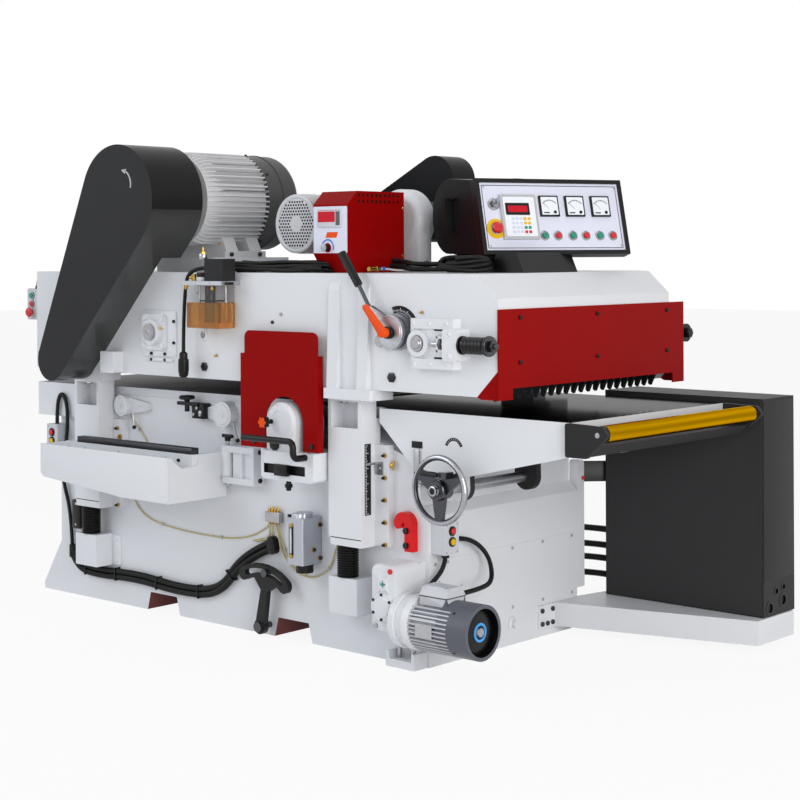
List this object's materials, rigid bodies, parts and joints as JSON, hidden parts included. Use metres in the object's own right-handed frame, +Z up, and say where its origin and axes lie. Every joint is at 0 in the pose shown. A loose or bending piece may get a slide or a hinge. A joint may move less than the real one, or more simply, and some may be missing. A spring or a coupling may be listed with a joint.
{
  "type": "double-sided planer",
  "caption": "Double-sided wood planer: base with tables and slide-out lower cutterhead, lifting head with feed track, belt-driven upper cutterhead, control panel and electrical cabinet",
  "frame": {"origin": "on the floor under the middle of the base casting, between the two fork slots", "axes": "+X along the feed line towards the infeed end, -Y towards the operator, +Z up"},
  "size_m": [2.7924, 1.415, 1.7489],
  "materials": {
    "light_paint": "cool light grey semi-gloss",
    "charcoal_paint": "satin charcoal",
    "cabinet_paint": "satin dark grey",
    "red_paint": "deep crimson gloss",
    "hook_red": "bright red gloss",
    "table_steel": "ground and polished",
    "tool_steel": "machined",
    "cast_black": "black cast",
    "grey_aluminium": "sprayed grey",
    "gold_anodised": "gold anodised",
    "chrome": "polished",
    "black_plastic": "satin black",
    "grey_plastic": "light grey",
    "black_rubber": "black",
    "amber_plastic": "clear amber",
    "orange_plastic": "orange",
    "red_plastic": "red",
    "green_plastic": "green",
    "yellow_plastic": "yellow"
  },
  "bodies": {
    "base": {"base_frame": "light_paint", "lift_guides": "tool_steel", "screw_bellows": "black_rubber", "outfeed_table": "table_steel", "cabinet_shelf": "light_paint", "electrical_cabinet": "cabinet_paint", "lift_gear_motor": "grey_aluminium", "base_button_boxes": "grey_plastic", "hand_oiler": "grey_aluminium", "base_lines": "black_rubber", "tool_hook": "hook_red"},
    "head": {"head_frame": "light_paint", "head_columns": "light_paint", "hood_front": "red_paint", "feed_track": "black_rubber", "take_up_blocks": "light_paint", "take_up_spring": "tool_steel", "belt_guard": "charcoal_paint", "main_motor": "grey_aluminium", "track_motor": "light_paint", "speed_box": "red_paint", "rear_drive": "charcoal_paint", "control_panel": "black_plastic", "head_button_box": "grey_plastic", "lubricator": "amber_plastic", "head_cables": "black_rubber"},
    "carriage": {"lower_carriage": "light_paint", "lower_guard": "red_paint"},
    "infeed_table": {"infeed_table": "table_steel"},
    "infeed_roller": {"infeed_roller": "gold_anodised"},
    "handwheel": {"handwheel": "chrome"},
    "wheel_grip": {"wheel_grip": "black_plastic"},
    "lower_cutterhead": {"lower_cutterhead": "tool_steel"},
    "carriage_knob": {"carriage_knob": "black_plastic"},
    "swing_arm": {"swing_arm": "light_paint"},
    "pump_lever": {"pump_lever": "black_plastic"},
    "tension_quadrant": {"tension_quadrant": "cast_black"},
    "track_drive_shaft": {"track_drive_shaft": "tool_steel"},
    "track_idler_shaft": {"track_idler_shaft": "tool_steel"},
    "antikick_fingers": {"antikick_fingers": "cast_black"},
    "motor_pulley": {"motor_pulley": "cast_black"},
    "upper_cutterhead": {"upper_cutterhead": "tool_steel"},
    "crank_lever": {"crank_lever": "chrome"},
    "clamp_lever": {"clamp_lever": "orange_plastic"},
    "head_start": {"head_start": "green_plastic"},
    "head_stop": {"head_stop": "red_plastic"},
    "head_mushroom": {"head_mushroom": "red_plastic"},
    "panel_mushroom": {"panel_mushroom": "red_plastic"},
    "left_red_button": {"left_red_button": "red_plastic"},
    "left_yellow_button": {"left_yellow_button": "yellow_plastic"},
    "right_red_button": {"right_red_button": "red_plastic"},
    "right_yellow_button": {"right_yellow_button": "yellow_plastic"},
    "key_switch": {"key_switch": "chrome"},
    "speed_knob": {"speed_knob": "black_plastic"},
    "panel_start_1": {"panel_start_1": "green_plastic"},
    "panel_stop_1": {"panel_stop_1": "red_plastic"},
    "panel_start_2": {"panel_start_2": "green_plastic"},
    "panel_stop_2": {"panel_stop_2": "red_plastic"},
    "panel_start_3": {"panel_start_3": "green_plastic"},
    "panel_stop_3": {"panel_stop_3": "red_plastic"}
  },
  "joints": [
    {"name": "head_lift", "type": "slide", "parent": "base", "child": "head", "axis": [0, 0, 1], "range_m": [-0.03, 0.15], "deforming": ["screw_bellows"]},
    {"name": "table_slide", "type": "slide", "parent": "base", "child": "infeed_table", "axis": [0.9511, 0, -0.309], "range_m": [-0.004, 0.016]},
    {"name": "handwheel_turn", "type": "hinge", "parent": "infeed_table", "child": "handwheel", "pos_m": [1.115, -0.52, 0.603], "axis": [0, -1, 0], "range_deg": [-365, 1445]},
    {"name": "grip_fold", "type": "hinge", "parent": "handwheel", "child": "wheel_grip", "pos_m": [1.145, -0.55, 0.655], "axis": [0, 0, 1], "range_deg": [0, 90]},
    {"name": "roller_spin", "type": "hinge", "parent": "infeed_table", "child": "infeed_roller", "pos_m": [1.672, 0, 0.807], "axis": [0, 1, 0], "continuous": true},
    {"name": "carriage_slide", "type": "slide", "parent": "base", "child": "carriage", "axis": [0, -1, 0], "range_m": [0, 0.75]},
    {"name": "lower_cutter_spin", "type": "hinge", "parent": "carriage", "child": "lower_cutterhead", "pos_m": [0.447, 0, 0.7745], "axis": [0, 1, 0], "continuous": true},
    {"name": "carriage_knob_turn", "type": "hinge", "parent": "carriage", "child": "carriage_knob", "pos_m": [0.405, -0.566, 0.7785], "axis": [0, -1, 0], "range_deg": [-180, 180]},
    {"name": "arm_swing", "type": "hinge", "parent": "base", "child": "swing_arm", "pos_m": [0.046, -0.44, 0.59], "axis": [0, 0, 1], "range_deg": [0, 90]},
    {"name": "pump_stroke", "type": "hinge", "parent": "base", "child": "pump_lever", "pos_m": [0.402, -0.478, 0.298], "axis": [0, 1, 0], "range_deg": [-60, 0]},
    {"name": "quadrant_turn", "type": "hinge", "parent": "base", "child": "tension_quadrant", "pos_m": [0.23, -0.452, 0.038], "axis": [0, 1, 0], "range_deg": [-18, 18]},
    {"name": "upper_cutter_spin", "type": "hinge", "parent": "head", "child": "upper_cutterhead", "pos_m": [-0.695, 0, 0.951], "axis": [0, 1, 0], "continuous": true},
    {"name": "motor_spin", "type": "hinge", "parent": "head", "child": "motor_pulley", "pos_m": [-0.3, -0.6, 1.548], "axis": [0, 1, 0], "continuous": true},
    {"name": "track_drive_spin", "type": "hinge", "parent": "head", "child": "track_drive_shaft", "pos_m": [-0.255, 0, 1.064], "axis": [0, 1, 0], "continuous": true},
    {"name": "track_idler_spin", "type": "hinge", "parent": "head", "child": "track_idler_shaft", "pos_m": [1.056, 0, 1.064], "axis": [0, 1, 0], "continuous": true},
    {"name": "fingers_swing", "type": "hinge", "parent": "head", "child": "antikick_fingers", "pos_m": [1.288, 0, 0.962], "axis": [0, 1, 0], "range_deg": [0, 35]},
    {"name": "crank_turn", "type": "hinge", "parent": "head", "child": "crank_lever", "pos_m": [0.945, -0.551, 1.096], "axis": [0, -1, 0], "range_deg": [-30, 30]},
    {"name": "clamp_turn", "type": "hinge", "parent": "crank_lever", "child": "clamp_lever", "pos_m": [0.945, -0.582, 1.096], "axis": [0, -1, 0], "range_deg": [-45, 45]},
    {"name": "speed_knob_turn", "type": "hinge", "parent": "head", "child": "speed_knob", "pos_m": [0.563, -0.45, 1.368], "axis": [0, -1, 0], "range_deg": [-135, 135]},
    {"name": "panel_start_1_press", "type": "slide", "parent": "head", "child": "panel_start_1", "axis": [-0.8824, 0.3929, -0.2588], "range_m": [0, 0.004], "stiffness_N_per_m": 400, "springref_m": -0.002},
    {"name": "panel_stop_1_press", "type": "slide", "parent": "head", "child": "panel_stop_1", "axis": [-0.8824, 0.3929, -0.2588], "range_m": [0, 0.004], "stiffness_N_per_m": 400, "springref_m": -0.002},
    {"name": "panel_start_2_press", "type": "slide", "parent": "head", "child": "panel_start_2", "axis": [-0.8824, 0.3929, -0.2588], "range_m": [0, 0.004], "stiffness_N_per_m": 400, "springref_m": -0.002},
    {"name": "panel_stop_2_press", "type": "slide", "parent": "head", "child": "panel_stop_2", "axis": [-0.8824, 0.3929, -0.2588], "range_m": [0, 0.004], "stiffness_N_per_m": 400, "springref_m": -0.002},
    {"name": "panel_start_3_press", "type": "slide", "parent": "head", "child": "panel_start_3", "axis": [-0.8824, 0.3929, -0.2588], "range_m": [0, 0.004], "stiffness_N_per_m": 400, "springref_m": -0.002},
    {"name": "panel_stop_3_press", "type": "slide", "parent": "head", "child": "panel_stop_3", "axis": [-0.8824, 0.3929, -0.2588], "range_m": [0, 0.004], "stiffness_N_per_m": 400, "springref_m": -0.002},
    {"name": "panel_mushroom_press", "type": "slide", "parent": "head", "child": "panel_mushroom", "axis": [-0.8824, 0.3929, -0.2588], "range_m": [0, 0.005], "stiffness_N_per_m": 900, "springref_m": -0.002},
    {"name": "key_turn", "type": "hinge", "parent": "head", "child": "key_switch", "pos_m": [1.05989, -0.17511, 1.50902], "axis": [0.8824, -0.3929, 0.2588], "range_deg": [0, 90]},
    {"name": "head_start_press", "type": "slide", "parent": "head", "child": "head_start", "axis": [0, 1, 0], "range_m": [0, 0.004], "stiffness_N_per_m": 400, "springref_m": -0.002},
    {"name": "head_stop_press", "type": "slide", "parent": "head", "child": "head_stop", "axis": [0, 1, 0], "range_m": [0, 0.004], "stiffness_N_per_m": 400, "springref_m": -0.002},
    {"name": "head_mushroom_press", "type": "slide", "parent": "head", "child": "head_mushroom", "axis": [0, 1, 0], "range_m": [0, 0.005], "stiffness_N_per_m": 900, "springref_m": -0.002},
    {"name": "left_red_button_press", "type": "slide", "parent": "base", "child": "left_red_button", "axis": [0, 1, 0], "range_m": [0, 0.004], "stiffness_N_per_m": 400, "springref_m": -0.002},
    {"name": "left_yellow_button_press", "type": "slide", "parent": "base", "child": "left_yellow_button", "axis": [0, 1, 0], "range_m": [0, 0.004], "stiffness_N_per_m": 400, "springref_m": -0.002},
    {"name": "right_red_button_press", "type": "slide", "parent": "base", "child": "right_red_button", "axis": [-1, 0, 0], "range_m": [0, 0.004], "stiffness_N_per_m": 400, "springref_m": -0.002},
    {"name": "right_yellow_button_press", "type": "slide", "parent": "base", "child": "right_yellow_button", "axis": [-1, 0, 0], "range_m": [0, 0.004], "stiffness_N_per_m": 400, "springref_m": -0.002}
  ],
  "couplings": [
    {"joint": "handwheel_turn", "follows": "table_slide", "rad_per_m": 1570.8},
    {"joint": "motor_spin", "follows": "upper_cutter_spin", "ratio": 0.68421},
    {"joint": "track_idler_spin", "follows": "track_drive_spin", "ratio": 1}
  ]
}
